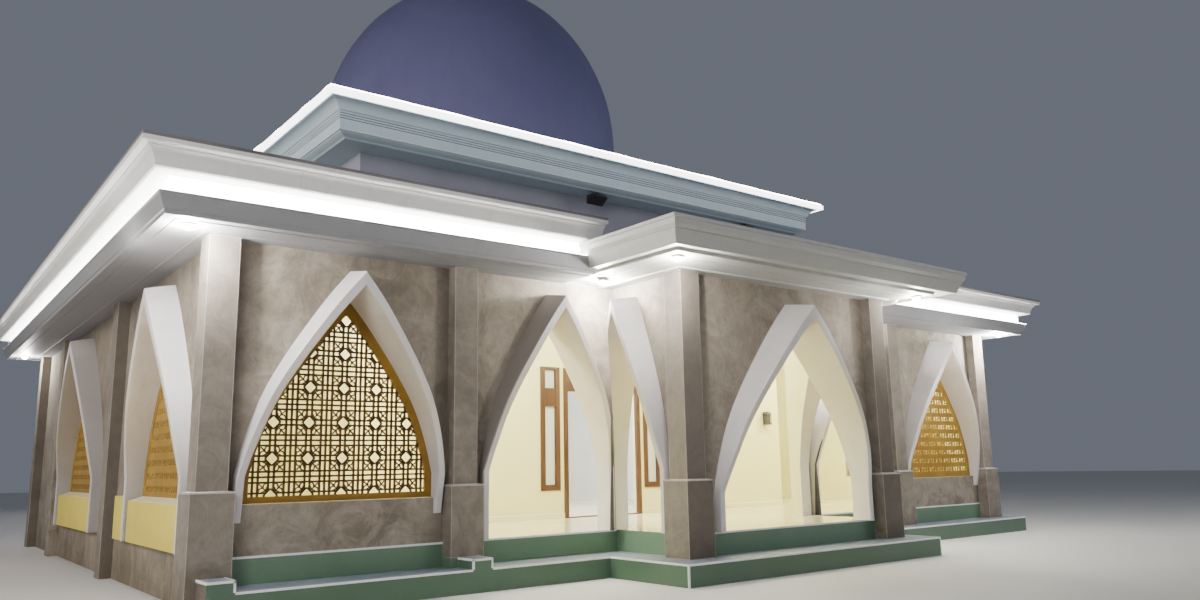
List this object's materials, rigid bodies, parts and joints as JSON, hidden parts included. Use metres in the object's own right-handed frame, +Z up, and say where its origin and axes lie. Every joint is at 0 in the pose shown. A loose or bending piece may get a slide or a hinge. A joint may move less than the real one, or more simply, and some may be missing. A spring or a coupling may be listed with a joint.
{
  "type": "mosque building",
  "caption": "Low square prayer hall under a raised tier and dome, with an arched veranda on three sides, a projecting arched porch and deep stepped eaves.",
  "frame": {"origin": "on the ground, under the centre of the whole plan's bounding box", "axes": "+Z up; +Y from the front to the back, so the porch is on the -Y side; +X along the front to the right as a person facing the front sees it"},
  "size_m": [17.944, 16.964, 14.1504],
  "materials": {
    "wall_render": "rough grey-brown cement render, unpainted and stained",
    "pier": "smoother grey-brown cement render",
    "arch_frame": "off-white painted plaster",
    "lattice": "ochre gold paint, satin",
    "cornice": "white painted plaster",
    "interior": "cream paint, matt",
    "step_tile": "green glazed tile, satin",
    "roof": "bare concrete",
    "tier": "grey-white painted render",
    "dome": "pale grey paint, satin"
  },
  "bodies": {
    "root": {"back_wall": "wall_render", "corner_pier_back_left": "pier", "corner_pier_back_right": "pier", "corner_pier_front_left": "pier", "corner_pier_front_right": "pier", "cornice_back": "cornice", "cornice_front_left": "cornice", "cornice_front_right": "cornice", "cornice_left": "cornice", "cornice_porch": "cornice", "cornice_right": "cornice", "dome": "dome", "dome_drum": "dome", "finial": "dome", "floor_slab": "step_tile", "front_left_inner_arch": "arch_frame", "front_left_inner_wall": "wall_render", "front_left_outer_arch": "arch_frame", "front_left_outer_lattice": "lattice", "front_left_outer_wall": "wall_render", "front_pier_left": "pier", "front_pier_right": "pier", "front_right_inner_arch": "arch_frame", "front_right_inner_wall": "wall_render", "front_right_outer_arch": "arch_frame", "front_right_outer_lattice": "lattice", "front_right_outer_wall": "wall_render", "hall_front_wall": "interior", "hall_left_wall": "interior", "hall_right_wall": "interior", "left_front_arch": "arch_frame", "left_front_lattice": "lattice", "left_front_wall": "wall_render", "left_rear_arch": "arch_frame", "left_rear_lattice": "lattice", "left_rear_wall": "wall_render", "lower_step": "step_tile", "porch_front_arch": "arch_frame", "porch_front_wall": "wall_render", "porch_left_arch": "arch_frame", "porch_left_wall": "wall_render", "porch_pier_left": "pier", "porch_pier_right": "pier", "porch_right_arch": "arch_frame", "porch_right_wall": "wall_render", "porch_roof": "roof", "right_front_arch": "arch_frame", "right_front_lattice": "lattice", "right_front_wall": "wall_render", "right_rear_arch": "arch_frame", "right_rear_lattice": "lattice", "right_rear_wall": "wall_render", "roof_slab": "roof", "side_pier_left": "pier", "side_pier_right": "pier", "tier_cornice": "cornice", "tier_roof": "roof", "tier_walls": "tier"}
  },
  "joints": []
}
